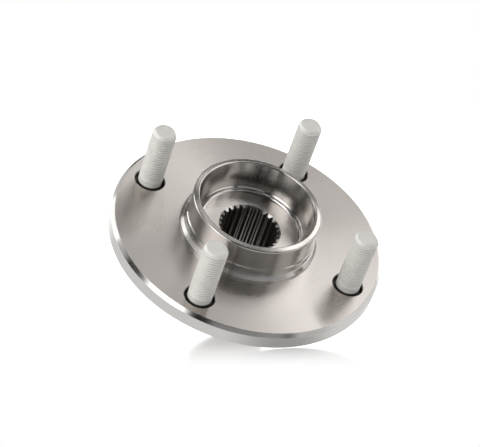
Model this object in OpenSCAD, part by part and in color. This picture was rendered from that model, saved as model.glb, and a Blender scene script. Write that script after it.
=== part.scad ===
// Driven wheel hub with four pressed-in wheel studs, all sizes in millimetres.
// The hub turns about +Z. The wheel face lies at z = 0, and the studs and the spigot point to +Z.

/* [Flange] */
// Outer diameter of the flange
flange_d = 133.4; // [128:0.1:144]
// Thickness of the flange at its rim
flange_t = 8.8; // [7:0.1:12]
// Chamfer at the front edge of the rim
front_chamfer = 1.7; // [0.5:0.1:2]
// Chamfer at the back edge of the rim
back_chamfer = 0.8; // [0.3:0.1:1.5]

/* [Spigot] */
// Diameter of the wheel register
wheel_register_d = 62.6; // [61.6:0.1:63]
// Diameter of the brake disc register below it
disc_register_d = 63.5; // [63.4:0.1:65]
// Height of the disc register's top edge above the wheel face
disc_register_top = 6.9; // [5.5:0.1:8]
// Height of the spigot's rim above the wheel face
spigot_h = 18.8; // [16:0.1:24]
// Diameter of the collar at the foot of the spigot
foot_d = 67; // [66.5:0.1:69]
// Height of the foot collar
foot_h = 3; // [2.2:0.1:4]
// Chamfer on the foot collar
foot_chamfer = 1.3; // [0.5:0.1:1.4]
// Fillet between the foot collar and the wheel face
foot_fillet = 0.6; // [0.3:0.1:0.7]
// Rounding of the spigot's outer edge
rim_round = 0.9; // [0.4:0.1:1.1]
// Fall of the rim's top towards the outside
rim_slope = 12; // [5:1:18]
// Rounding of the spigot's inner edge
rim_inner_round = 0.7; // [0.3:0.1:0.9]

/* [Nut recess] */
// Diameter of the recess at the rim
recess_mouth_d = 56.5; // [55:0.1:57]
// Diameter of the tapered wall at its foot
recess_foot_d = 51.1; // [50.8:0.1:52]
// Diameter of the recess below the ledge
recess_floor_d = 50.2; // [48:0.1:50.6]
// Height of the ledge above the wheel face
ledge_z = 5.4; // [5.2:0.1:8]
// Height of the nut seat above the wheel face
nut_seat_z = 3.1; // [1:0.1:3.6]
// Fillet around the nut seat
floor_fillet = 1.2; // [0.5:0.1:1.5]

/* [Spline] */
// Number of teeth
spline_teeth = 27; // [24:1:28]
// Diametral pitch, teeth to the inch of pitch diameter
spline_pitch = 24; // [24:0.5:26]
// Pressure angle
pressure_angle = 30; // [30:0.5:37.5]
// Turn of the first tooth space away from the first stud
spline_phase = 2.2; // [0:0.1:13]
// Angle of the lead chamfers to the face
lead_angle = 30; // [20:1:45]
// Diameter of the relief at the inboard end
relief_d = 32; // [31.6:0.1:33.5]
// Depth of that relief
relief_depth = 3.5; // [2:0.1:6]

/* [Barrel] */
// Diameter of the bearing seat
seat_d = 39; // [38.5:0.1:42]
// Length of the bearing seat
seat_l = 36.5; // [30:0.1:42]
// Diameter of the bearing shoulder
shoulder_d = 53; // [48:0.1:56]
// Height of the bearing shoulder behind the flange
shoulder_h = 4.7; // [4.2:0.1:8]
// Fillet between the shoulder and the flange
root_fillet = 4; // [2:0.1:4.2]
// Width of the undercut beside the shoulder
undercut_w = 2.2; // [2:0.1:3]
// Depth of the undercut
undercut_depth = 0.4; // [0.2:0.05:0.6]
// Length of the lead taper at the inboard end
lead_l = 2; // [1:0.1:3]
// Angle of that taper to the axis
lead_taper = 15; // [10:1:30]

/* [Wheel studs] */
// Distance from the circle through the studs to the rim of the flange
stud_edge = 12.7; // [11.8:0.1:15]
// Number of studs
stud_count = 4; // [3:1:5]
// Nominal thread diameter
stud_d = 12; // [11:0.1:12.5]
// Height of the stud's tip above the wheel face
stud_h = 32; // [22:0.1:45]
// Chamfer at the tip
tip_chamfer = 1.2; // [0.6:0.1:1.8]
// Diameter over the knurl
knurl_d = 12.9; // [12.8:0.05:13.6]
// Depth of the knurl's grooves
knurl_depth = 0.2; // [0.1:0.05:0.3]
// Number of ridges in the knurl
knurl_count = 30; // [24:1:40]
// Diameter of the stud's head
head_d = 17.8; // [16:0.1:19]
// Thickness of the head
head_t = 3.6; // [2.5:0.1:5]
// Chamfer at the back of the head
head_chamfer = 0.7; // [0.3:0.1:1.2]
// Diameter of the relief around the stud in the wheel face
mouth_d = 14.6; // [14.2:0.1:16]
// Depth of that relief
mouth_depth = 3; // [2:0.1:4]
// Chamfer at its edge
mouth_chamfer = 0.4; // [0.2:0.1:0.8]
// Depth of the spot face under the head
spot_depth = 0.4; // [0.2:0.1:0.8]
// Radial clearance of the spot face around the head
spot_clearance = 1.2; // [0.8:0.1:1.6]

/* [Hidden] */
$fn = 128;

INCH = 25.4;
overcut = 1;
mouth_margin = 0.06;
steel = [0.72, 0.70, 0.68];
zinc = [0.80, 0.80, 0.77];

flange_r = flange_d / 2;
wheel_r = wheel_register_d / 2;
disc_r = disc_register_d / 2;
foot_r = foot_d / 2;
seat_r = seat_d / 2;
shoulder_r = shoulder_d / 2;
stud_pcd = flange_d - 2 * stud_edge;
shoulder_z = -flange_t - shoulder_h;
inboard_z = shoulder_z - seat_l;
head_seat_z = spot_depth - flange_t;
knurl_l = -mouth_depth - head_seat_z;
rim_flat_r = recess_mouth_d / 2 + rim_inner_round;
rim_edge_z = spigot_h - tan(rim_slope) * (wheel_r - rim_flat_r);

pitch_r = spline_teeth * INCH / spline_pitch / 2;
base_r = pitch_r * cos(pressure_angle);
root_r = (spline_teeth + 1.8) * INCH / spline_pitch / 2;
tip_r = (spline_teeth - 1) * INCH / spline_pitch / 2;
flank_steps = 3;
flank_margin = 0.2;

// Involute function of an angle, in degrees
function involute(a) = tan(a) * 180 / PI - a;

// Half the angle of a tooth space at radius r
function half_space(r) =
    90 / spline_teeth + involute(pressure_angle) - involute(acos(base_r / r));

function polar(r, a) = [r * cos(a), r * sin(a)];

// One flank of a tooth space, from just inside the tip circle to just past the root circle
function flank(side) = [
    for (i = [0:flank_steps])
        let (r = tip_r - flank_margin + (root_r - tip_r + 2 * flank_margin) * i / flank_steps)
            polar(r, side * half_space(r))
];

function reversed(list) = [for (i = [len(list) - 1:-1:0]) list[i]];

// The corner between a square of side r and its inscribed quarter circle, at [x, z].
// It fills an inner corner that opens towards dx and dz, and cuts an outer one when dx and dz point inwards.
module corner_section(x, z, r, dx, dz) {
    translate([x, z]) mirror([dx < 0 ? 1 : 0, 0]) mirror([0, dz < 0 ? 1 : 0])
        difference() {
            translate([-r / 2, -r / 2]) square(1.5 * r);
            translate([r, r]) circle(r);
        }
}

// Half-section of the hub with sharp corners, from the nut seat round the outside and back to the axis
module hub_outline() {
    step = disc_r - wheel_r;
    lead_w = lead_l * tan(lead_taper);
    neck_r = seat_r - undercut_depth;
    wall_r = recess_floor_d / 2;
    ledge_r = recess_foot_d / 2;
    polygon([
        [0, nut_seat_z],
        [wall_r, nut_seat_z],
        [wall_r, ledge_z - (ledge_r - wall_r)],
        [ledge_r, ledge_z],
        [recess_mouth_d / 2, spigot_h - rim_inner_round],
        [recess_mouth_d / 2, spigot_h],
        [rim_flat_r, spigot_h],
        [wheel_r, rim_edge_z],
        [wheel_r, disc_register_top],
        [disc_r, disc_register_top - step],
        [disc_r, foot_h],
        [foot_r - foot_chamfer, foot_h],
        [foot_r, foot_h - foot_chamfer],
        [foot_r, 0],
        [flange_r - front_chamfer, 0],
        [flange_r, -front_chamfer],
        [flange_r, back_chamfer - flange_t],
        [flange_r - back_chamfer, -flange_t],
        [shoulder_r, -flange_t],
        [shoulder_r, shoulder_z],
        [neck_r, shoulder_z],
        [neck_r, shoulder_z - undercut_w],
        [seat_r, shoulder_z - undercut_w - undercut_depth],
        [seat_r, inboard_z + lead_l],
        [seat_r - lead_w, inboard_z],
        [0, inboard_z],
    ]);
}

// The turned body: the outline with its inner corners filled and its rim rounded
module turned_body() {
    difference() {
        union() {
            rotate_extrude() hub_outline();
            rotate_extrude() corner_section(foot_r, 0, foot_fillet, 1, 1);
            rotate_extrude() corner_section(shoulder_r, -flange_t, root_fillet, 1, -1);
            rotate_extrude() corner_section(recess_floor_d / 2, nut_seat_z, floor_fillet, -1, 1);
        }
        rotate_extrude() corner_section(wheel_r, rim_edge_z, rim_round, -1, -1);
        rotate_extrude() corner_section(recess_mouth_d / 2, spigot_h, rim_inner_round, 1, -1);
    }
}

// Cross-section of the splined bore: the tip circle with a tooth space at each pitch
module spline_section() {
    intersection() {
        circle(root_r);
        union() {
            circle(tip_r);
            for (i = [0:spline_teeth - 1])
                rotate(spline_phase + i * 360 / spline_teeth)
                    polygon(concat([[tip_r / 2, 0]], flank(-1), reversed(flank(1))));
        }
    }
}

// A lead chamfer that takes the teeth down to the tip circle, opening towards +Z at height 0
module lead_cone(mouth_r) {
    slope = tan(lead_angle);
    rotate_extrude() polygon([
        [0, overcut * slope], [mouth_r + overcut, overcut * slope],
        [tip_r / 2, -(mouth_r - tip_r / 2) * slope], [0, -(mouth_r - tip_r / 2) * slope],
    ]);
}

module splined_bore() {
    mouth_r = root_r + mouth_margin;
    relief_z = inboard_z + relief_depth;
    translate([0, 0, inboard_z - overcut])
        linear_extrude(nut_seat_z - inboard_z + 2 * overcut) spline_section();
    translate([0, 0, nut_seat_z]) lead_cone(mouth_r);
    translate([0, 0, inboard_z - overcut]) cylinder(h = relief_depth + overcut, d = relief_d);
    translate([0, 0, relief_z]) mirror([0, 0, 1]) lead_cone(mouth_r);
}

module knurl_section() {
    polygon([
        for (i = [0:2 * knurl_count - 1])
            polar(knurl_d / 2 - (i % 2) * knurl_depth, i * 180 / knurl_count)
    ]);
}

// Places its children at stud i of the pattern
module at_stud(i) {
    rotate(i * 360 / stud_count) translate([stud_pcd / 2, 0, 0]) children();
}

// The hole for one stud: relief with its chamfer, the bore that the knurl cuts, and the spot face
module stud_hole() {
    spot_r = head_d / 2 + spot_clearance;
    translate([0, 0, -mouth_depth]) cylinder(h = mouth_depth + overcut, d = mouth_d);
    translate([0, 0, -mouth_chamfer])
        cylinder(h = 2 * mouth_chamfer, d1 = mouth_d, d2 = mouth_d + 4 * mouth_chamfer);
    translate([0, 0, head_seat_z - overcut])
        linear_extrude(knurl_l + 2 * overcut) knurl_section();
    translate([0, 0, head_seat_z - overcut - spot_depth])
        cylinder(h = overcut + spot_depth, r = spot_r);
}

module hub() {
    color(steel) difference() {
        turned_body();
        splined_bore();
        for (i = [0:stud_count - 1]) at_stud(i) stud_hole();
    }
}

// One wheel stud, from the back of its head to its tip
module wheel_stud() {
    head_r = head_d / 2;
    color(zinc) union() {
        translate([0, 0, head_seat_z]) rotate_extrude() polygon([
            [0, 0], [head_r, 0], [head_r, head_chamfer - head_t],
            [head_r - head_chamfer, -head_t], [0, -head_t],
        ]);
        translate([0, 0, head_seat_z - head_t / 2])
            linear_extrude(knurl_l + head_t / 2) knurl_section();
        translate([0, 0, -mouth_depth - overcut])
            cylinder(h = mouth_depth + overcut + stud_h - tip_chamfer, d = stud_d);
        translate([0, 0, stud_h - tip_chamfer])
            cylinder(h = tip_chamfer, d1 = stud_d, d2 = stud_d - 2 * tip_chamfer);
    }
}

hub();
at_stud(0) wheel_stud();  // wheel_stud_1
at_stud(1) wheel_stud();  // wheel_stud_2
at_stud(2) wheel_stud();  // wheel_stud_3
at_stud(3) wheel_stud();  // wheel_stud_4
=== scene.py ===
"""Looks of the wheel hub: a turned steel body, four wheel studs with rolled threads, and a white studio.

The hub turns about +Z of the part's own frame, and its wheel face lies at z = 0. Sizes of pieces are written
in millimetres, as on a drawing. The scene itself, its materials and its studio among it, is in metres.
"""

from __future__ import annotations

import logging
import math
from dataclasses import dataclass, field
from enum import Enum
from typing import Any, Mapping, Sequence, Union

import bpy
from mathutils import Euler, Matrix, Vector

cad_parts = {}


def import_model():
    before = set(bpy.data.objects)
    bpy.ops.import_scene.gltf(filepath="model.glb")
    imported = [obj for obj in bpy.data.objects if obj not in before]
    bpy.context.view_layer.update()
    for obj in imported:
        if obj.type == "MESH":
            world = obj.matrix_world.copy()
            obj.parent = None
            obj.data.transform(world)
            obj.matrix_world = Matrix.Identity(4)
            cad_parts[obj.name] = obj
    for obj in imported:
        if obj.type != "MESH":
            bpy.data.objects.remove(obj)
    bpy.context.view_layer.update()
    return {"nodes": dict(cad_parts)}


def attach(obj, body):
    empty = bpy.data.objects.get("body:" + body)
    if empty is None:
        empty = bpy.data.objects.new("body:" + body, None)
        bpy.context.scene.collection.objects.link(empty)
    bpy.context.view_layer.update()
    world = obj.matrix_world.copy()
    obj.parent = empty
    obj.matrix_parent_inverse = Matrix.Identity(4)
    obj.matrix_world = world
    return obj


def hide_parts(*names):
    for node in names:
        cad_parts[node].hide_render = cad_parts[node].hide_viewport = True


MM = 0.001
BODY = "root"
WELD = 1e-6

# The circle of the studs in millimetres, and the turn of the spline's first tooth space in degrees.
STUD_CIRCLE = 108.0
STUD_COUNT = 4
SPLINE_TEETH = 27
SPLINE_TURN = 2.2

log = logging.getLogger("wheel_hub")

Number = Union[int, float]
Colour = tuple[float, float, float]
Span = tuple[float, float]
Point = tuple[float, float]
Corner = tuple[float, float, float]

BLACK: Colour = (0.0, 0.0, 0.0)
WHITE: Colour = (1.0, 1.0, 1.0)


class Slot(Enum):
    """Material slots of the record."""

    STEEL = "hub_steel"
    ZINC = "stud_zinc"


class Cut(Enum):
    """How one solid changes another."""

    TAKE = "DIFFERENCE"
    ADD = "UNION"
    KEEP = "INTERSECT"


# Shader maths


class Expr:
    """A shader socket on which Python's arithmetic adds Math nodes."""

    def __init__(self, graph: "Graph", socket: bpy.types.NodeSocket) -> None:
        """Wraps a socket.

        Args:
            graph: The graph that the socket belongs to.
            socket: An output socket.
        """
        self.graph = graph
        self.socket = socket

    def math(self, operation: str, *others: "Term") -> "Expr":
        """Adds one Math node.

        Args:
            operation: The node's operation.
            others: The operands after this one.

        Returns:
            The result.
        """
        return self.graph.math(operation, self, *others)

    def __add__(self, other: "Term") -> "Expr":
        """Sum."""
        return self.math("ADD", other)

    __radd__ = __add__

    def __mul__(self, other: "Term") -> "Expr":
        """Product."""
        return self.math("MULTIPLY", other)

    __rmul__ = __mul__

    def __sub__(self, other: "Term") -> "Expr":
        """Difference."""
        return self.math("SUBTRACT", other)

    def __rsub__(self, other: "Term") -> "Expr":
        """Difference from a plain number."""
        return self.graph.math("SUBTRACT", other, self)

    def __pow__(self, other: "Term") -> "Expr":
        """Power."""
        return self.math("POWER", other)

    def size(self) -> "Expr":
        """Value without its sign."""
        return self.math("ABSOLUTE")

    def rise(self, low: Number, high: Number) -> "Expr":
        """Smooth step from 0 to 1.

        Args:
            low: The value at which the step starts.
            high: The value at which it is complete.

        Returns:
            The step.
        """
        node = self.graph.node(
            "ShaderNodeMapRange",
            {"interpolation_type": "SMOOTHSTEP"},
            {"Value": self, "From Min": low, "From Max": high},
        )
        return Expr(self.graph, node.outputs["Result"])

    def band(self, low: Number, high: Number, soft: Number) -> "Expr":
        """Mask that is 1 between two values.

        Args:
            low: The lower end.
            high: The upper end.
            soft: The width of the soft edge at each end.

        Returns:
            The mask.
        """
        return self.rise(low - soft, low + soft) * (1 - self.rise(high - soft, high + soft))


Term = Union[Expr, int, float]
Input = Union[Expr, int, float, Sequence[float]]


class Graph:
    """The node tree of a material or of the world."""

    def __init__(self, tree: bpy.types.NodeTree) -> None:
        """Empties the tree.

        Args:
            tree: The tree to fill.
        """
        self.tree = tree
        tree.nodes.clear()

    def node(
        self,
        kind: str,
        settings: Mapping[str, Any] | None = None,
        sockets: Mapping[Union[str, int], Input] | None = None,
    ) -> bpy.types.Node:
        """Adds any node.

        Args:
            kind: The node's type.
            settings: Its own properties, which are set first.
            sockets: Values or links of its input sockets, by name or number.

        Returns:
            The node.
        """
        made = self.tree.nodes.new(kind)
        for name, value in (settings or {}).items():
            setattr(made, name, value)
        for key, value in (sockets or {}).items():
            target = made.inputs[key]
            if isinstance(value, Expr):
                self.tree.links.new(value.socket, target)
            elif target.type == "RGBA":
                target.default_value = (*value, 1.0)
            else:
                target.default_value = value
        return made

    def out(
        self,
        kind: str,
        output: Union[str, int],
        settings: Mapping[str, Any] | None = None,
        sockets: Mapping[Union[str, int], Input] | None = None,
    ) -> Expr:
        """Adds a node and gives one of its outputs.

        Args:
            kind: The node's type.
            output: The output's name or number.
            settings: The node's properties.
            sockets: The node's inputs.

        Returns:
            The output.
        """
        return Expr(self, self.node(kind, settings, sockets).outputs[output])

    def math(self, operation: str, *terms: Term) -> Expr:
        """Adds one Math node.

        Args:
            operation: The node's operation.
            terms: Its operands.

        Returns:
            The result.
        """
        return self.out("ShaderNodeMath", 0, {"operation": operation}, dict(enumerate(terms)))

    def mix(self, factor: Term, low: Input, high: Input) -> Expr:
        """Mixes two colours.

        Args:
            factor: 0 for the first colour and 1 for the second.
            low: The first colour.
            high: The second colour.

        Returns:
            The mixed colour.
        """
        return self.out("ShaderNodeMix", 2, {"data_type": "RGBA"}, {"Factor": factor, 6: low, 7: high})

    def mix_shaders(self, factor: Term, low: Expr, high: Expr) -> Expr:
        """Mixes two shaders.

        Args:
            factor: 0 for the first shader and 1 for the second.
            low: The first shader.
            high: The second shader.

        Returns:
            The mixed shader.
        """
        return self.out("ShaderNodeMixShader", 0, None, {0: factor, 1: low, 2: high})

    def place(self) -> Expr:
        """Object coordinates."""
        return self.out("ShaderNodeTexCoord", "Object")

    def split(self, vector: Expr) -> list[Expr]:
        """The three parts of a vector."""
        return [Expr(self, part) for part in self.node("ShaderNodeSeparateXYZ", None, {0: vector}).outputs]

    def dot(self, where: Expr, axis: Sequence[float]) -> Expr:
        """Length of a vector along an axis.

        Args:
            where: The vector.
            axis: The axis, of length 1.

        Returns:
            The length.
        """
        return self.out(
            "ShaderNodeVectorMath", "Value", {"operation": "DOT_PRODUCT"}, {0: where, 1: tuple(axis)}
        )

    def from_stud(self, place: Expr) -> Expr:
        """Distance from the axis of the nearest wheel stud; the studs stand on the X and Y axes.

        Args:
            place: Object coordinates.

        Returns:
            The distance in metres.
        """
        x, y = (part.size() for part in self.split(place)[:2])
        out, across = self.math("MAXIMUM", x, y), self.math("MINIMUM", x, y)
        return ((out - STUD_CIRCLE / 2 * MM) ** 2 + across * across) ** 0.5

    def noise(self, where: Expr, scale: float, detail: float = 2.0, rough: float = 0.5) -> Expr:
        """Soft noise around 0.5.

        Args:
            where: Coordinates.
            scale: Spots to the metre.
            detail: Number of finer layers.
            rough: Strength of the finer layers.

        Returns:
            The noise.
        """
        return self.out(
            "ShaderNodeTexNoise",
            0,
            {"noise_dimensions": "3D"},
            {"Vector": where, "Scale": scale, "Detail": detail, "Roughness": rough},
        )

    def lines(self, along: Expr, scale: float, detail: float = 3.0, rough: float = 0.6) -> Expr:
        """Noise around 0.5 that changes along one value only.

        Args:
            along: The value.
            scale: Lines to the metre.
            detail: Number of finer layers.
            rough: Strength of the finer layers.

        Returns:
            The noise.
        """
        return self.out(
            "ShaderNodeTexNoise",
            0,
            {"noise_dimensions": "1D"},
            {"W": along, "Scale": scale, "Detail": detail, "Roughness": rough},
        )


def new_material(name: str) -> tuple[bpy.types.Material, Graph]:
    """Makes an empty material.

    Args:
        name: The material's name.

    Returns:
        The material and its graph.
    """
    material = bpy.data.materials.new(name)
    material.use_nodes = True
    return material, Graph(material.node_tree)


# Finishes


@dataclass(frozen=True)
class TurnedSteel:
    """Bare steel, turned on a lathe, so that its fine grooves run round the hub's axis.

    A span says where a soft step starts and ends. The spans of facing go from 0, a wall, to 1, a flat. The
    roughnesses of the foot, the bore and the stud holes come on top of the wall's. The splined bore and the
    stud holes are painted dark as shade, and thin strips on the spline's tooth tips are left bright as
    painted highlights.
    """

    name: str = "turned_steel"
    tint: Colour = (0.646, 0.604, 0.569)
    wall_tint: Colour = (0.622, 0.604, 0.584)
    bore_painted_shade: Colour = (0.130, 0.120, 0.105)
    hole_painted_shade: Colour = (0.14, 0.13, 0.12)
    flat_facing: Span = (0.80, 0.97)
    bore_facing: Span = (0.50, 0.80)
    bore_edge: Span = (15.15 * MM, 15.35 * MM)
    bore_top: Span = (3.0 * MM, 3.3 * MM)
    bore_share: float = 0.95
    land_edge: Span = (13.8 * MM, 13.92 * MM)
    land_width: float = 0.12
    land_place: float = 0.5
    land_soft: float = 0.04
    hole_edge: Span = (7.35 * MM, 7.45 * MM)
    hole_top: Span = (-1.3 * MM, -0.45 * MM)
    spigot_edge: Span = (34.5 * MM, 35.1 * MM)
    foot: Span = (-0.3 * MM, 3.3 * MM)
    foot_soft: float = 0.4 * MM
    rough_face: float = 0.28
    rough_ring: float = 0.23
    rough_wall: float = 0.17
    rough_foot: float = 0.08
    rough_bore: float = 0.22
    rough_hole: float = 0.25
    line_scale: float = 620.0
    line_tone: float = 0.04
    line_rough: float = 0.02
    line_share: float = 0.35
    cloud_scale: float = 38.0
    cloud_tone: float = 0.03
    cloud_rough: float = 0.03
    stretch: float = 0.90
    stretch_turn: float = 0.25

    def build(self) -> bpy.types.Material:
        """Makes the material.

        Returns:
            The material.
        """
        material, g = new_material(self.name)
        place = g.place()
        x, y, z = g.split(place)
        radius = (x * x + y * y) ** 0.5
        facing = g.split(g.out("ShaderNodeTexCoord", "Normal"))[2].size()
        flat = facing.rise(*self.flat_facing)
        face = flat * radius.rise(*self.spigot_edge)

        # Mask of the splined bore, which is painted dark as shade.
        inside = 1 - facing.rise(*self.bore_facing)
        bore = inside * (1 - radius.rise(*self.bore_edge)) * (1 - z.rise(*self.bore_top))
        # Thin strips on the tooth tips are left out of that painted shade, as painted highlights.
        tooth = g.math("ARCTAN2", y, x) * (SPLINE_TEETH / (2 * math.pi)) - SPLINE_TURN * SPLINE_TEETH / 360
        half = self.land_width / 2
        crest = tooth.math("FRACT").band(self.land_place - half, self.land_place + half, self.land_soft)
        land_highlight = bore * (1 - radius.rise(*self.land_edge)) * crest
        # Mask of the stud holes' relief, which is painted dark as shade.
        hole = (1 - g.from_stud(place).rise(*self.hole_edge)) * (1 - z.rise(*self.hole_top))
        foot = (1 - flat) * z.band(*self.foot, self.foot_soft) * (1 - bore)

        share = self.line_share + (1 - self.line_share) * face
        line = (g.lines(radius + z, self.line_scale) - 0.5) * share
        cloud = g.noise(place, self.cloud_scale, 3.0)
        tone = 1.0 + self.line_tone * line - self.cloud_tone * cloud
        shade = g.mix(tone, BLACK, g.mix(flat, self.wall_tint, self.tint))
        # Painted shade in the bore, except on the painted highlight strips.
        shade = g.mix((bore - land_highlight) * self.bore_share, shade, self.bore_painted_shade)
        rough = (
            self.rough_wall
            + (self.rough_ring - self.rough_wall) * flat
            + (self.rough_face - self.rough_ring) * face
            + self.rough_foot * foot
            + self.rough_bore * (bore - land_highlight)
            + self.rough_hole * hole
            + self.line_rough * line
            + self.cloud_rough * (cloud - 0.5)
        )
        skin = g.out(
            "ShaderNodeBsdfPrincipled",
            0,
            None,
            {
                # The stud holes' relief is painted dark as shade.
                "Base Color": g.mix(hole, shade, self.hole_painted_shade),
                "Metallic": 1.0,
                "Roughness": rough,
                "Anisotropic": self.stretch,
                "Anisotropic Rotation": self.stretch_turn,
                "Tangent": g.out("ShaderNodeTangent", 0, {"direction_type": "RADIAL", "axis": "Z"}),
            },
        )
        g.node("ShaderNodeOutputMaterial", None, {"Surface": skin})
        return material


@dataclass(frozen=True)
class ZincFlake:
    """Dull light-grey coating of zinc flakes, baked on.

    It has painted shade in the thread's valleys, in the groove under the thread and down in the stud's hole.
    """

    name: str = "zinc_flake"
    tint: Colour = (0.79, 0.775, 0.735)
    worn_tint: Colour = (0.65, 0.64, 0.605)
    valley_painted_shade: Colour = (0.36, 0.35, 0.325)
    pit_painted_shade: Colour = (0.06, 0.055, 0.05)
    flake_scale: float = 2600.0
    flake_grain: float = 0.7
    flake_span: Span = (0.42, 0.62)
    flake_share: float = 0.5
    blotch_scale: float = 260.0
    blotch_span: Span = (0.35, 0.65)
    blotch_share: float = 0.35
    valley_edge: Span = (5.40 * MM, 5.85 * MM)
    valley_share: float = 0.35
    thread: Span = (2.6 * MM, 30.0 * MM)
    thread_soft: float = 0.1 * MM
    groove: Span = (1.8 * MM, 2.2 * MM)
    groove_soft: float = 0.2 * MM
    groove_share: float = 0.5
    pit: Span = (-3.3 * MM, -0.15 * MM)
    pit_soft: float = 0.3 * MM
    metal: float = 0.15
    rough: float = 0.46
    rough_spread: float = 0.14
    bump: float = 0.25
    bump_height: float = 0.02 * MM

    def build(self) -> bpy.types.Material:
        """Makes the material.

        Returns:
            The material.
        """
        material, g = new_material(self.name)
        place = g.place()
        height = g.split(place)[2]
        flakes = g.noise(place, self.flake_scale, rough=self.flake_grain)
        blotch = g.noise(place, self.blotch_scale, 3.0)
        bright = self.flake_share * flakes.rise(*self.flake_span) + self.blotch_share * blotch.rise(
            *self.blotch_span
        )
        dull = 1 - self.flake_share - self.blotch_share
        colour = g.mix(dull + bright, self.worn_tint, self.tint)
        # Painted shade in the thread's valleys and, below, in the groove under the thread.
        inside = 1 - g.from_stud(place).rise(*self.valley_edge)
        valley = inside * height.band(*self.thread, self.thread_soft)
        colour = g.mix(valley * self.valley_share, colour, self.valley_painted_shade)
        groove = height.band(*self.groove, self.groove_soft)
        colour = g.mix(groove * self.groove_share, colour, self.valley_painted_shade)
        # Painted shade on the stud down in its hole.
        colour = g.mix(height.band(*self.pit, self.pit_soft), colour, self.pit_painted_shade)
        bump = g.out(
            "ShaderNodeBump",
            0,
            None,
            {"Strength": self.bump, "Distance": self.bump_height, "Height": flakes},
        )
        skin = g.out(
            "ShaderNodeBsdfPrincipled",
            0,
            None,
            {
                "Base Color": colour,
                "Metallic": self.metal,
                "Roughness": self.rough + self.rough_spread * (flakes - 0.5),
                "Normal": bump,
            },
        )
        g.node("ShaderNodeOutputMaterial", None, {"Surface": skin})
        return material


# Modelling tools


def only(piece: bpy.types.Object) -> bpy.types.Object:
    """Makes one piece the only selected and the active one.

    Args:
        piece: The piece.

    Returns:
        The same piece.
    """
    if bpy.context.object and bpy.context.object.mode != "OBJECT":
        bpy.ops.object.mode_set(mode="OBJECT")
    bpy.ops.object.select_all(action="DESELECT")
    piece.select_set(True)
    bpy.context.view_layer.objects.active = piece
    return piece


def apply_modifier(piece: bpy.types.Object, kind: str, **settings: Any) -> None:
    """Adds a modifier and applies it.

    Args:
        piece: The piece.
        kind: The modifier's type.
        settings: Its settings.
    """
    only(piece)
    modifier = piece.modifiers.new(kind.title(), kind)
    for name, value in settings.items():
        setattr(modifier, name, value)
    bpy.ops.object.modifier_apply(modifier=modifier.name)


def combine(piece: bpy.types.Object, tool: bpy.types.Object, cut: Cut) -> bpy.types.Object:
    """Joins or cuts one solid with another, which is used up.

    Args:
        piece: The solid that stays.
        tool: The other solid.
        cut: What the other solid does.

    Returns:
        The solid that stays.
    """
    apply_modifier(piece, "BOOLEAN", operation=cut.value, object=tool, solver="EXACT")
    bpy.data.objects.remove(tool, do_unlink=True)
    return piece


def smooth(piece: bpy.types.Object, degrees: float) -> bpy.types.Object:
    """Welds a mesh, shades it smooth up to an angle and lets its large faces stay flat.

    Args:
        piece: The piece.
        degrees: Edges sharper than this stay sharp.

    Returns:
        The same piece.
    """
    only(piece)
    bpy.ops.object.mode_set(mode="EDIT")
    bpy.ops.mesh.select_all(action="SELECT")
    bpy.ops.mesh.remove_doubles(threshold=WELD)
    bpy.ops.mesh.normals_make_consistent(inside=False)
    bpy.ops.object.mode_set(mode="OBJECT")
    bpy.ops.object.shade_smooth_by_angle(angle=math.radians(degrees))
    apply_modifier(piece, "WEIGHTED_NORMAL", keep_sharp=True, weight=100)
    return piece


def rounded(corners: Sequence[Corner], facets: int = 3, facets_per_mm: int = 4) -> list[Point]:
    """Rounds the corners of a closed half-section.

    Args:
        corners: Radius, height and rounding of each corner in millimetres.
        facets: Facets in the smallest rounding.
        facets_per_mm: Facets more for each millimetre of a rounding.

    Returns:
        The points of the rounded chain.
    """
    points: list[Point] = []
    for i, (r, z, radius) in enumerate(corners):
        here = Vector((r, z))
        if radius <= 0:
            points.append((r, z))
            continue
        before = (Vector(corners[i - 1][:2]) - here).normalized()
        after = (Vector(corners[(i + 1) % len(corners)][:2]) - here).normalized()
        half = before.angle(after) / 2
        centre = here + (before + after).normalized() * radius / math.sin(half)
        first, last = (here + way * radius / math.tan(half) - centre for way in (before, after))
        start = math.atan2(first.y, first.x)
        sweep = math.remainder(math.atan2(last.y, last.x) - start, 2 * math.pi)
        steps = facets + math.ceil(facets_per_mm * radius)
        for step in range(steps + 1):
            turn = start + sweep * step / steps
            points.append((centre.x + radius * math.cos(turn), centre.y + radius * math.sin(turn)))
    return points


def outline(name: str, points: Sequence[Point]) -> bpy.types.Object:
    """Draws a chain of edges in the XZ plane.

    Args:
        name: The piece's name.
        points: Radius and height of each point in millimetres.

    Returns:
        The chain, with all of it selected, in object mode.
    """
    bpy.ops.object.select_all(action="DESELECT")
    bpy.ops.mesh.primitive_plane_add(size=2 * MM)
    piece = bpy.context.object
    piece.name = piece.data.name = name
    bpy.ops.object.mode_set(mode="EDIT")
    bpy.ops.mesh.merge(type="CENTER")
    here = Vector((points[0][0] * MM, 0.0, points[0][1] * MM))
    bpy.ops.transform.translate(value=here)
    for r, z in points[1:]:
        there = Vector((r * MM, 0.0, z * MM))
        bpy.ops.mesh.extrude_region_move(TRANSFORM_OT_translate={"value": there - here})
        here = there
    bpy.ops.mesh.select_all(action="SELECT")
    bpy.ops.object.mode_set(mode="OBJECT")
    return piece


def turned(name: str, points: Sequence[Point], steps: int) -> bpy.types.Object:
    """Turns a solid about Z from its half-section.

    Args:
        name: The piece's name.
        points: Radius and height of each point in millimetres, from the axis and back to it.
        steps: Number of facets round the axis.

    Returns:
        The solid.
    """
    piece = outline(name, points)
    only(piece)
    bpy.ops.object.mode_set(mode="EDIT")
    bpy.ops.mesh.select_all(action="SELECT")
    bpy.ops.mesh.spin(steps=steps, angle=2 * math.pi, center=(0, 0, 0), axis=(0, 0, 1))
    bpy.ops.mesh.select_all(action="SELECT")
    bpy.ops.mesh.remove_doubles(threshold=WELD)
    bpy.ops.mesh.normals_make_consistent(inside=False)
    bpy.ops.object.mode_set(mode="OBJECT")
    return piece


# The object's sub-assemblies


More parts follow.
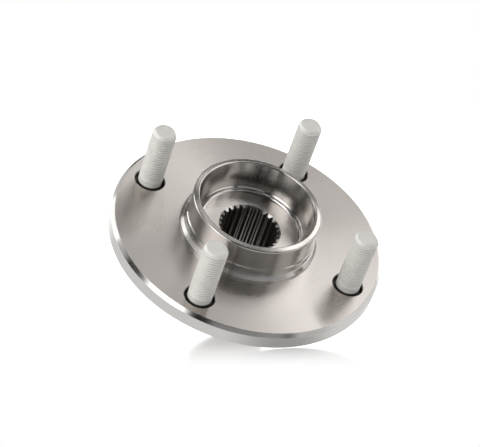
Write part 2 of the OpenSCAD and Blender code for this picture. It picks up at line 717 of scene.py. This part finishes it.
@dataclass
class HubBody:
    """The hub itself: flange, spigot, nut recess, splined bore and barrel, all one piece of steel.

    Sizes are in millimetres and are those of the solid that it replaces. Heights are counted from the wheel
    face, and roundings are radii.
    """

    node: str = "hub"
    name: str = "hub_body"
    flange_r: float = 66.7
    flange_t: float = 8.8
    flange_fillet: float = 4.0
    front_chamfer: float = 1.7
    back_chamfer: float = 0.8
    wheel_r: float = 31.3
    disc_r: float = 31.75
    disc_top: float = 6.9
    rim_z: float = 18.8
    rim_edge_z: float = 18.3005
    rim_round: float = 0.9
    foot_r: float = 33.5
    foot_z: float = 3.0
    foot_bevel: float = 1.3
    foot_land: float = 1.2
    foot_round: float = 0.3
    foot_root: float = 0.1
    mouth_r: float = 28.25
    mouth_edge: float = 0.7
    mouth_round: float = 0.68
    wall_bow: float = 0.42
    wall_steps: int = 8
    ledge_r: float = 25.55
    ledge_z: float = 5.4
    floor_r: float = 25.1
    floor_fillet: float = 1.7
    seat_z: float = 3.1
    teeth: int = SPLINE_TEETH
    module: float = 25.4 / 24
    pressure_angle: float = 30.0
    phase: float = SPLINE_TURN
    flank_steps: int = 5
    root_crown: float = 0.01
    lead_angle: float = 30.0
    lead_over: float = 0.06
    broach_under: float = 0.2
    broach_over: float = 1.0
    relief_r: float = 16.0
    relief_z: float = -46.5
    end_z: float = -50.0
    barrel_r: float = 19.5
    lead: float = 2.0
    lead_taper: float = 15.0
    shoulder_r: float = 26.5
    shoulder_z: float = -13.5
    undercut: float = 0.4
    undercut_w: float = 2.2
    circle_r: float = STUD_CIRCLE / 2
    holes: int = STUD_COUNT
    hole_r: float = 7.3
    hole_chamfer: float = 0.4
    hole_z: float = -3.0
    bore_r: float = 6.4
    spot_r: float = 10.1
    spot_z: float = -8.4
    drill_over: float = 0.6
    drill_under: float = 1.0
    drill_steps: int = 72
    edge_break: float = 0.15
    steps: int = 288
    smooth_below: float = 35.0
    steel: TurnedSteel = field(default_factory=TurnedSteel)

    @property
    def tip_r(self) -> float:
        """Radius at the tips of the spline's teeth."""
        return (self.teeth - 1) * self.module / 2

    @property
    def root_r(self) -> float:
        """Radius at the roots of the spline's teeth."""
        return (self.teeth + 1.8) * self.module / 2

    @property
    def lead_r(self) -> float:
        """Radius at the wide end of the lead-in chamfers of the spline."""
        return self.root_r + self.lead_over

    @property
    def lead_drop(self) -> float:
        """Height of the lead-in chamfers of the spline."""
        return (self.lead_r - self.tip_r) * math.tan(math.radians(self.lead_angle))

    def recess(self) -> list[Corner]:
        """Nut recess from the spline's upper end to the rim, with a tapered wall that bows inward by a hair.

        Returns:
            Corners as (radius, height, rounding).
        """
        b = self.edge_break
        mouth_z = self.rim_z - self.mouth_edge
        wall = []
        for i in range(1, self.wall_steps):
            t = i / self.wall_steps
            r = self.ledge_r + (self.mouth_r - self.ledge_r) * t - 4 * self.wall_bow * t * (1 - t)
            wall.append((r, self.ledge_z + (mouth_z - self.ledge_z) * t, 0.0))
        return [
            (self.tip_r, self.seat_z - self.lead_drop, b),
            (self.lead_r, self.seat_z, b),
            (self.floor_r, self.seat_z, self.floor_fillet),
            (self.floor_r, self.ledge_z - self.ledge_r + self.floor_r, 0.0),
            (self.ledge_r, self.ledge_z, 0.0),
            *wall,
            (self.mouth_r, mouth_z, 0.0),
        ]

    def spigot(self) -> list[Corner]:
        """Rim, wheel register, disc register and the collar at their foot.

        Returns:
            Corners as (radius, height, rounding).
        """
        b = self.edge_break
        return [
            (self.mouth_r, self.rim_z, self.mouth_round),
            (self.mouth_r + self.mouth_edge, self.rim_z, 0.0),
            (self.wheel_r, self.rim_edge_z, self.rim_round),
            (self.wheel_r, self.disc_top, b),
            (self.disc_r, self.disc_top - self.disc_r + self.wheel_r, b),
            (self.disc_r, self.foot_z, b),
            (self.foot_r - self.foot_bevel, self.foot_z, self.foot_round),
            (self.foot_r, self.foot_land, self.foot_round),
            (self.foot_r, 0.0, self.foot_root),
        ]

    def flange(self) -> list[Corner]:
        """Flange from its wheel face round to its inboard side.

        Returns:
            Corners as (radius, height, rounding).
        """
        b = self.edge_break
        return [
            (self.flange_r - self.front_chamfer, 0.0, b),
            (self.flange_r, -self.front_chamfer, b),
            (self.flange_r, self.back_chamfer - self.flange_t, b),
            (self.flange_r - self.back_chamfer, -self.flange_t, b),
            (self.shoulder_r, -self.flange_t, self.flange_fillet),
        ]

    def barrel(self) -> list[Corner]:
        """Shoulder, undercut, bearing seat with its taper, and the relief inside the barrel's end.

        Returns:
            Corners as (radius, height, rounding).
        """
        b = self.edge_break
        taper = self.lead * math.tan(math.radians(self.lead_taper))
        neck_r = self.barrel_r - self.undercut
        neck_z = self.shoulder_z - self.undercut_w
        return [
            (self.shoulder_r, self.shoulder_z, 2 * b),
            (neck_r, self.shoulder_z, 2 * b),
            (neck_r, neck_z, b),
            (self.barrel_r, neck_z - self.undercut, b),
            (self.barrel_r, self.end_z + self.lead, 2 * b),
            (self.barrel_r - taper, self.end_z, 2 * b),
            (self.relief_r, self.end_z, b),
            (self.relief_r, self.relief_z, b),
            (self.lead_r, self.relief_z, b),
            (self.tip_r, self.relief_z + self.lead_drop, b),
        ]

    def section(self) -> list[Point]:
        """Half-section of the turned body, once round it from the spline's upper end.

        Returns:
            Its points.
        """
        points = rounded([*self.recess(), *self.spigot(), *self.flange(), *self.barrel()])
        return [*points, points[0]]

    def half_space(self, r: float) -> float:
        """Half the angle of a tooth space between its two involute flanks.

        Args:
            r: The radius at which it is wanted.

        Returns:
            The angle in radians.
        """
        pressure = math.radians(self.pressure_angle)
        turn = math.acos(self.teeth * self.module / 2 * math.cos(pressure) / r)
        return math.pi / 2 / self.teeth + math.tan(pressure) - pressure - math.tan(turn) + turn

    def tooth_spaces(self) -> bpy.types.Object:
        """Models the broach that cuts the spline's tooth spaces.

        Returns:
            The broach.
        """
        low = self.tip_r - self.broach_under
        levels = [low + (self.root_r - low) * i / self.flank_steps for i in range(self.flank_steps + 1)]
        space = [(r, -self.half_space(r)) for r in levels] + [(self.root_r + self.root_crown, 0.0)]
        space += [(r, self.half_space(r)) for r in reversed(levels)]
        bpy.ops.object.select_all(action="DESELECT")
        bpy.ops.mesh.primitive_circle_add(
            vertices=len(space) * self.teeth, radius=self.root_r * MM, fill_type="NGON",
            location=(0, 0, (self.end_z - self.broach_over) * MM),
        )
        broach = bpy.context.object
        broach.name = broach.data.name = "broach"
        bpy.ops.object.transform_apply(location=True, rotation=True, scale=True)
        ring = sorted(broach.data.vertices, key=lambda v: math.atan2(v.co.y, v.co.x) % (2 * math.pi))
        for i, vertex in enumerate(ring):
            tooth, place = divmod(i, len(space))
            r, turn = space[place]
            turn += math.radians(self.phase) + tooth * 2 * math.pi / self.teeth
            vertex.co.x, vertex.co.y = r * MM * math.cos(turn), r * MM * math.sin(turn)
        only(broach)
        bpy.ops.object.mode_set(mode="EDIT")
        bpy.ops.mesh.select_all(action="SELECT")
        length = (self.seat_z - self.end_z + 2 * self.broach_over) * MM
        bpy.ops.mesh.extrude_region_move(TRANSFORM_OT_translate={"value": (0, 0, length)})
        bpy.ops.mesh.select_all(action="SELECT")
        bpy.ops.mesh.normals_make_consistent(inside=False)
        bpy.ops.object.mode_set(mode="OBJECT")
        return broach

    def drill(self, number: int) -> bpy.types.Object:
        """Models the cutter for one stud hole: relief with its chamfer, bore, and spot face behind.

        Args:
            number: Which hole.

        Returns:
            The cutter, in its place.
        """
        over, under = self.drill_over, self.spot_z - self.drill_under
        cutter = turned(
            "drill",
            [
                (0, over), (self.hole_r + self.hole_chamfer + over, over),
                (self.hole_r, -self.hole_chamfer), (self.hole_r, self.hole_z), (self.bore_r, self.hole_z),
                (self.bore_r, self.spot_z), (self.spot_r, self.spot_z), (self.spot_r, under), (0, under),
            ],
            self.drill_steps,
        )
        turn = number * 2 * math.pi / self.holes
        cutter.location = (self.circle_r * MM * math.cos(turn), self.circle_r * MM * math.sin(turn), 0.0)
        only(cutter)
        bpy.ops.object.transform_apply(location=True, rotation=True, scale=True)
        return cutter

    def build(self) -> bpy.types.Object:
        """Turns, broaches, drills and dresses the hub.

        Returns:
            The piece.
        """
        piece = turned(self.name, self.section(), self.steps)
        cutters = [self.tooth_spaces(), *(self.drill(number) for number in range(self.holes))]
        bpy.ops.object.select_all(action="DESELECT")
        for cutter in cutters:
            cutter.select_set(True)
        bpy.context.view_layer.objects.active = cutters[0]
        bpy.ops.object.join()
        combine(piece, cutters[0], Cut.TAKE)
        smooth(piece, self.smooth_below)
        piece.data.materials.clear()
        piece.data.materials.append(self.steel.build())
        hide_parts(self.node)
        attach(piece, BODY)
        return piece


@dataclass
class WheelStuds:
    """Four wheel studs with a rolled metric thread, a plain neck, a knurl and a flat head.

    Sizes are in millimetres, and heights are counted from the wheel face.
    """

    node: str = "wheel_stud_"
    circle: float = STUD_CIRCLE
    count: int = STUD_COUNT
    crest_r: float = 5.9
    pitch: float = 1.5
    depth: float = 0.62
    crest_share: float = 0.22
    flank_share: float = 0.24
    tip_z: float = 32.0
    tip_r: float = 4.75
    tip_edge: Span = (0.3, 0.12)
    chamfer_z: float = 30.2
    thread_z: float = 2.7
    thread_under: float = 0.3
    thread_over: float = 0.5
    blank_under: float = 0.6
    blank_over: float = 1.0
    runout: float = 2.4
    runout_gap: float = 0.05
    neck_r: float = 5.85
    groove: float = 0.25
    knurl_top: float = -3.0
    knurl_r: float = 6.45
    knurl_depth: float = 0.2
    knurl_count: int = 30
    knurl_under: float = 0.6
    seat_z: float = -8.4
    head_r: float = 8.9
    head_z: float = -12.0
    head_edge: float = 0.7
    steps: int = 48
    smooth_below: float = 28.0
    turn_between: float = 0.7
    zinc: ZincFlake = field(default_factory=ZincFlake)

    @property
    def root_r(self) -> float:
        """Radius at the bottom of the thread."""
        return self.crest_r - self.depth

    def thread(self) -> bpy.types.Object:
        """Rolls the thread: one pitch of its profile, screwed up the shank and cut flat at both ends.

        Returns:
            A threaded rod.
        """
        root = self.root_r
        crest, flank = self.crest_share * self.pitch, self.flank_share * self.pitch
        low = self.thread_z - 2 * self.pitch
        turns = math.ceil((self.tip_z - low) / self.pitch) + 2
        start = (self.pitch - crest - 2 * flank) / 2
        heights = (0.0, start, start + flank, start + flank + crest, start + 2 * flank + crest, self.pitch)
        radii = (root, root, self.crest_r, self.crest_r, root, root)
        rod = outline("thread", [(r, low + h) for r, h in zip(radii, heights)])
        apply_modifier(
            rod, "SCREW", axis="Z", screw_offset=self.pitch * MM, iterations=turns, steps=self.steps,
            render_steps=self.steps, use_merge_vertices=True, use_normal_calculate=True,
        )
        only(rod)
        bpy.ops.object.mode_set(mode="EDIT")
        bpy.ops.mesh.select_all(action="SELECT")
        bpy.ops.mesh.remove_doubles(threshold=WELD)
        ends = ((self.thread_z - self.thread_under, -1.0), (self.tip_z + self.thread_over, 1.0))
        for height, up in ends:
            bpy.ops.mesh.select_all(action="SELECT")
            bpy.ops.mesh.bisect(
                plane_co=(0, 0, height * MM), plane_no=(0, 0, up), clear_outer=True, use_fill=True
            )
        bpy.ops.mesh.select_all(action="SELECT")
        bpy.ops.mesh.normals_make_consistent(inside=False)
        bpy.ops.object.mode_set(mode="OBJECT")
        return rod

    def blank(self) -> bpy.types.Object:
        """Models the form that chamfers the thread's tip.

        Returns:
            The form.
        """
        low, wide = self.thread_z - self.blank_under, self.crest_r + self.blank_over
        edge_r, edge_z = self.tip_edge
        points = [
            (0, low), (wide, low), (wide, self.chamfer_z - self.blank_over), (self.crest_r, self.chamfer_z),
            (self.tip_r, self.tip_z - edge_z), (self.tip_r - edge_r, self.tip_z), (0, self.tip_z),
        ]
        return turned("blank", points, self.steps)

    def shank(self) -> bpy.types.Object:
        """Models the plain end of the stud: run-out, groove, neck and head.

        Returns:
            The shank.
        """
        top, step = self.thread_z, self.groove
        points = [
            (0, top + self.runout), (self.root_r - self.runout_gap, top + self.runout),
            (self.neck_r, top), (self.neck_r, top - step),
            (self.neck_r - step, top - 2 * step), (self.neck_r, top - 3 * step),
            (self.neck_r, self.knurl_top), (self.neck_r, self.seat_z),
            (self.head_r, self.seat_z), (self.head_r, self.head_z + self.head_edge),
            (self.head_r - self.head_edge, self.head_z), (0, self.head_z),
        ]
        return turned("shank", points, 2 * self.steps)

    def knurl(self) -> bpy.types.Object:
        """Models the ridged part of the shank that is pressed into the flange.

        Returns:
            The ridged collar.
        """
        low = self.seat_z - self.knurl_under
        bpy.ops.object.select_all(action="DESELECT")
        bpy.ops.mesh.primitive_cylinder_add(
            vertices=2 * self.knurl_count,
            radius=self.knurl_r * MM,
            depth=(self.knurl_top - low) * MM,
            location=(0, 0, (self.knurl_top + low) / 2 * MM),
        )
        collar = bpy.context.object
        collar.name = collar.data.name = "knurl"
        bpy.ops.object.transform_apply(location=True, rotation=True, scale=True)
        valley = 1 - self.knurl_depth / self.knurl_r
        for vertex in collar.data.vertices:
            turn = math.atan2(vertex.co.y, vertex.co.x) / (math.pi / self.knurl_count)
            if round(turn) % 2:
                vertex.co.x *= valley
                vertex.co.y *= valley
        return collar

    def build_one(self) -> bpy.types.Object:
        """Models one stud on the Z axis.

        Returns:
            The stud.
        """
        stud = combine(self.thread(), self.blank(), Cut.KEEP)
        stud = combine(stud, self.shank(), Cut.ADD)
        return combine(stud, self.knurl(), Cut.ADD)

    def build(self) -> list[bpy.types.Object]:
        """Copies the stud to the four holes, dresses the copies and puts them in place of their solids.

        Returns:
            The studs in order.
        """
        first = smooth(self.build_one(), self.smooth_below)
        coat = self.zinc.build()
        first.data.materials.clear()
        first.data.materials.append(coat)
        studs = []
        for number in range(self.count):
            stud = first.copy()
            stud.data = first.data.copy()
            stud.name = stud.data.name = f"threaded_stud_{number + 1}"
            bpy.context.scene.collection.objects.link(stud)
            only(stud)
            turn = number * 2 * math.pi / self.count
            arm = self.circle / 2 * MM
            stud.rotation_euler = (0.0, 0.0, turn + self.turn_between * number)
            stud.location = (arm * math.cos(turn), arm * math.sin(turn), 0.0)
            bpy.ops.object.transform_apply(location=True, rotation=True, scale=True)
            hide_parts(f"{self.node}{number + 1}")
            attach(stud, BODY)
            studs.append(stud)
        bpy.data.objects.remove(first, do_unlink=True)
        return studs


# The studio


@dataclass(frozen=True)
class Panel:
    """A soft-edged panel of light in the room round the hub.

    Its azimuth is counted from the camera's side, to the right as the camera sees it. All its angles are in
    degrees, and its level is how bright it looks, where 1 is white.
    """

    name: str
    azimuth: float
    elevation: float
    width: float
    height: float
    level: float


@dataclass(frozen=True)
class Lamp:
    """A soft square lamp that lights dull surfaces only, so that metal shows the panels alone.

    Its angles are counted as a panel's are. Its side is in metres, and its level is how bright its face is,
    where 1 is white.
    """

    name: str
    azimuth: float
    elevation: float
    level: float
    side: float = 0.6


@dataclass
class Studio:
    """White floor, panels of soft light round the hub, and the camera of the photograph.

    Lengths are in metres and angles in degrees. A span says where a soft step starts and ends, and the clip
    which distances the camera sees. Angles on the floor are counted as a panel's azimuth is.
    """

    camera_at: tuple[float, float, float] = (-0.780037, -0.157266, 0.717765)
    camera_turn: tuple[float, float, float] = (46.2931, -14.7577, -64.5544)
    lens: float = 168.408
    sensor: float = 36.0
    clip: Span = (0.05, 20.0)
    up: tuple[float, float, float] = (0.480914, 0.448583, 0.753322)
    floor_size: float = 6.0
    floor_grid: int = 24
    floor_tint: Colour = (0.9, 0.9, 0.9)
    mirror: float = 0.95
    mirror_rough: float = 0.16
    mirror_fade: Span = (0.0, 0.103)
    rest_painted_shadow: float = 0.35
    rest_reach: Span = (0.0, 0.055)
    floor_level: float = 0.90
    contact: Point = (0.017, 0.041)
    contact_shade_level: float = 0.55
    contact_reach: Span = (0.004, 0.035)
    dark_level: float = 0.05
    dark_left: Span = (-40.0, -36.0)
    dark_right: Span = (55.0, 80.0)
    dark_away: Span = (0.08, 0.14)
    side_soft: float = 3.5
    room: float = 0.02
    panels: tuple[Panel, ...] = (
        Panel("left", 250, 28, 44, 40, 2.1),
        Panel("left_high", 280, 55, 24, 50, 0.6),
        Panel("front_left", 331, 34, 31, 32, 2.3),
        Panel("front_left_low", 306, 15, 72, 16, 1.2),
        Panel("front_near", 338, 13, 14, 14, 1.2),
        Panel("front_top", 340, 66, 24, 30, 1.6),
        Panel("front_low", 20, 5, 44, 16, 0.4),
        Panel("front_right", 50, 20, 30, 20, 0.4),
        Panel("right_low", 90, 5, 80, 30, 1.0),
        Panel("right_mid", 80, 30, 20, 14, 1.8),
        Panel("right_near", 75, 50, 16, 14, 1.5),
        Panel("right_inner", 90, 50, 14, 14, 1.0),
        Panel("right_bright", 111, 50, 28, 14, 2.35),
        Panel("right_high", 90, 62, 20, 12, 3.4),
        Panel("right_top", 115, 62, 30, 12, 1.35),
        Panel("back_right", 165, 62, 20, 12, 0.4),
        Panel("back_low", 144, 50, 12, 12, 0.6),
        Panel("top_near", 60, 73, 36, 12, 0.9),
        Panel("top_right", 96, 73, 36, 12, 0.5),
        Panel("top_back", 168, 73, 36, 12, 1.1),
        Panel("top", 90, 84, 90, 12, 0.9),
        Panel("back_left", 215, 38, 30, 24, 0.8),
        Panel("backdrop", 180, 6, 100, 24, 1.8),
    )
    lamps: tuple[Lamp, ...] = (
        Lamp("fill_left", 300, 22, 3.35),
        Lamp("fill_front", 335, 10, 0.8),
        Lamp("fill_right", 100, 15, 1.2),
    )
    lamp_distance: float = 1.0

    def camera(self) -> bpy.types.Object:
        """Adds the camera.

        Returns:
            The camera.
        """
        data = bpy.data.cameras.new("camera")
        data.lens = self.lens
        data.sensor_width = self.sensor
        data.clip_start, data.clip_end = self.clip
        camera = bpy.data.objects.new("camera", data)
        camera.location = self.camera_at
        camera.rotation_euler = Euler([math.radians(a) for a in self.camera_turn], "XYZ")
        bpy.context.scene.collection.objects.link(camera)
        bpy.context.scene.camera = camera
        return camera

    def axes(self) -> tuple[Vector, Vector, Vector]:
        """Directions of the studio.

        Returns:
            To the right of the camera, towards the camera along the floor, and up.
        """
        up = Vector(self.up).normalized()
        back = Euler([math.radians(a) for a in self.camera_turn], "XYZ").to_matrix() @ Vector((0, 0, 1))
        near = (back - up * back.dot(up)).normalized()
        return up.cross(near), near, up

    def floor(self, lowest: float) -> bpy.types.Object:
        """Adds the floor on which the hub rests on its rim and the end of its barrel.

        Args:
            lowest: Height of the hub's lowest point along the studio's up direction.

        Returns:
            The floor.
        """
        up = self.axes()[2]
        bpy.ops.object.select_all(action="DESELECT")
        bpy.ops.mesh.primitive_grid_add(
            x_subdivisions=self.floor_grid, y_subdivisions=self.floor_grid, size=self.floor_size
        )
        floor = bpy.context.object
        floor.name = floor.data.name = "studio_floor"
        floor.rotation_euler = up.to_track_quat("Z", "Y").to_euler()
        floor.location = up * lowest
        floor.data.materials.append(self.floor_finish())
        return floor

    def floor_finish(self) -> bpy.types.Material:
        """White floor that mirrors the hub faintly and has a painted shadow where the hub rests.

        Only the camera sees it like that. Steel sees a white floor that turns dark in front of the hub and
        is painted darker as shade where the flange touches it, dull surfaces get plain light from it, and
        from below it is open.

        Returns:
            The material.
        """
        material, g = new_material("white_floor")
        material.cycles.emission_sampling = "NONE"
        place = g.out("ShaderNodeNewGeometry", "Position")
        right, near = (g.dot(place, axis) for axis in self.axes()[:2])
        away = (right * right + near * near) ** 0.5

        # Painted shadow on the white floor where the hub rests.
        shade = self.rest_painted_shadow * (1 - away.rise(*self.rest_reach))
        white = g.out("ShaderNodeEmission", 0, None, {"Color": g.mix(shade, WHITE, BLACK)})
        gloss = g.out("ShaderNodeBsdfAnisotropic", 0, None, {"Color": WHITE, "Roughness": self.mirror_rough})
        seen = g.mix_shaders(self.mirror * (1 - near.rise(*self.mirror_fade)), white, gloss)

        turn = g.math("ARCTAN2", right, near) * math.degrees(1)
        dark = turn.rise(*self.dark_left) * (1 - turn.rise(*self.dark_right)) * away.rise(*self.dark_away)
        level = self.floor_level + (self.dark_level - self.floor_level) * dark
        # Painted shade in the floor's glow, as steel sees it, where the flange touches the floor.
        contact = ((right - self.contact[0]) ** 2 + (near - self.contact[1]) ** 2) ** 0.5
        level = level * (self.contact_shade_level + (1 - self.contact_shade_level) * contact.rise(*self.contact_reach))
        glow = g.out("ShaderNodeEmission", 0, None, {"Color": g.mix(level, BLACK, WHITE)})
        plain = g.out("ShaderNodeBsdfDiffuse", 0, None, {"Color": self.floor_tint})

        path = g.node("ShaderNodeLightPath")
        camera, glossy, through = (
            Expr(g, path.outputs[f"Is {ray} Ray"]) for ray in ("Camera", "Glossy", "Transmission")
        )
        lit = g.mix_shaders(glossy.math("MAXIMUM", through), plain, glow)
        top = g.mix_shaders(camera, lit, seen)
        below = g.out("ShaderNodeNewGeometry", "Backfacing")
        both = g.mix_shaders(below, top, g.out("ShaderNodeBsdfTransparent", 0))
        g.node("ShaderNodeOutputMaterial", None, {"Surface": both})
        return material

    def surroundings(self) -> None:
        """White behind the hub, and the panels of light in a dim room on it and in its reflections."""
        world = bpy.data.worlds.new("studio")
        bpy.context.scene.world = world
        world.use_nodes = True
        g = Graph(world.node_tree)
        way = g.out("ShaderNodeTexCoord", "Generated")
        right, near, up = (g.dot(way, axis) for axis in self.axes())
        azimuth = g.math("ARCTAN2", right, near) * math.degrees(1)
        elevation = g.math("ARCSINE", up) * math.degrees(1)
        light: Term = self.room
        for panel in self.panels:
            turn = g.math("WRAP", azimuth - panel.azimuth, 180.0, -180.0)
            rise = elevation - panel.elevation
            wide, high = panel.width / 2, panel.height / 2
            light = light + panel.level * turn.band(-wide, wide, self.side_soft) * rise.band(
                -high, high, self.side_soft
            )
        camera = g.out("ShaderNodeLightPath", "Is Camera Ray")
        room = g.out("ShaderNodeBackground", 0, None, {"Color": light, "Strength": 1.0})
        white = g.out("ShaderNodeBackground", 0, None, {"Color": WHITE, "Strength": 1.0})
        g.node("ShaderNodeOutputWorld", None, {"Surface": g.mix_shaders(camera, room, white)})

    def light(self, lamp: Lamp) -> bpy.types.Object:
        """Adds one lamp, turned towards the hub.

        Args:
            lamp: The lamp.

        Returns:
            Its object.
        """
        right, near, up = self.axes()
        turn, rise = math.radians(lamp.azimuth), math.radians(lamp.elevation)
        away = (near * math.cos(turn) + right * math.sin(turn)) * math.cos(rise) + up * math.sin(rise)
        data = bpy.data.lights.new(lamp.name, "AREA")
        data.shape = "SQUARE"
        data.size = lamp.side
        data.energy = lamp.level * math.pi * lamp.side * lamp.side
        light = bpy.data.objects.new(lamp.name, data)
        light.location = away * self.lamp_distance
        light.rotation_euler = away.to_track_quat("Z", "Y").to_euler()
        light.visible_camera = light.visible_glossy = False
        bpy.context.scene.collection.objects.link(light)
        return light

    def build(self, lowest: float) -> None:
        """Sets up the whole studio.

        Args:
            lowest: Height of the hub's lowest point along the studio's up direction.
        """
        bpy.context.scene.view_settings.view_transform = "Standard"
        self.camera()
        self.floor(lowest)
        self.surroundings()
        for lamp in self.lamps:
            self.light(lamp)


def main() -> None:
    """Builds the hub, its studs and the studio."""
    logging.basicConfig(level=logging.INFO, format="%(name)s: %(message)s")
    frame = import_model()
    solid = frame["nodes"]["hub"]
    studio = Studio()
    up = studio.axes()[2]
    lowest = min(vertex.co.dot(up) for vertex in solid.data.vertices)

    hub = HubBody().build()
    log.info("%s: %d faces", hub.name, len(hub.data.polygons))
    for stud in WheelStuds().build():
        log.info("%s: %d faces", stud.name, len(stud.data.polygons))
    studio.build(lowest)


if __name__ == "__main__":
    main()
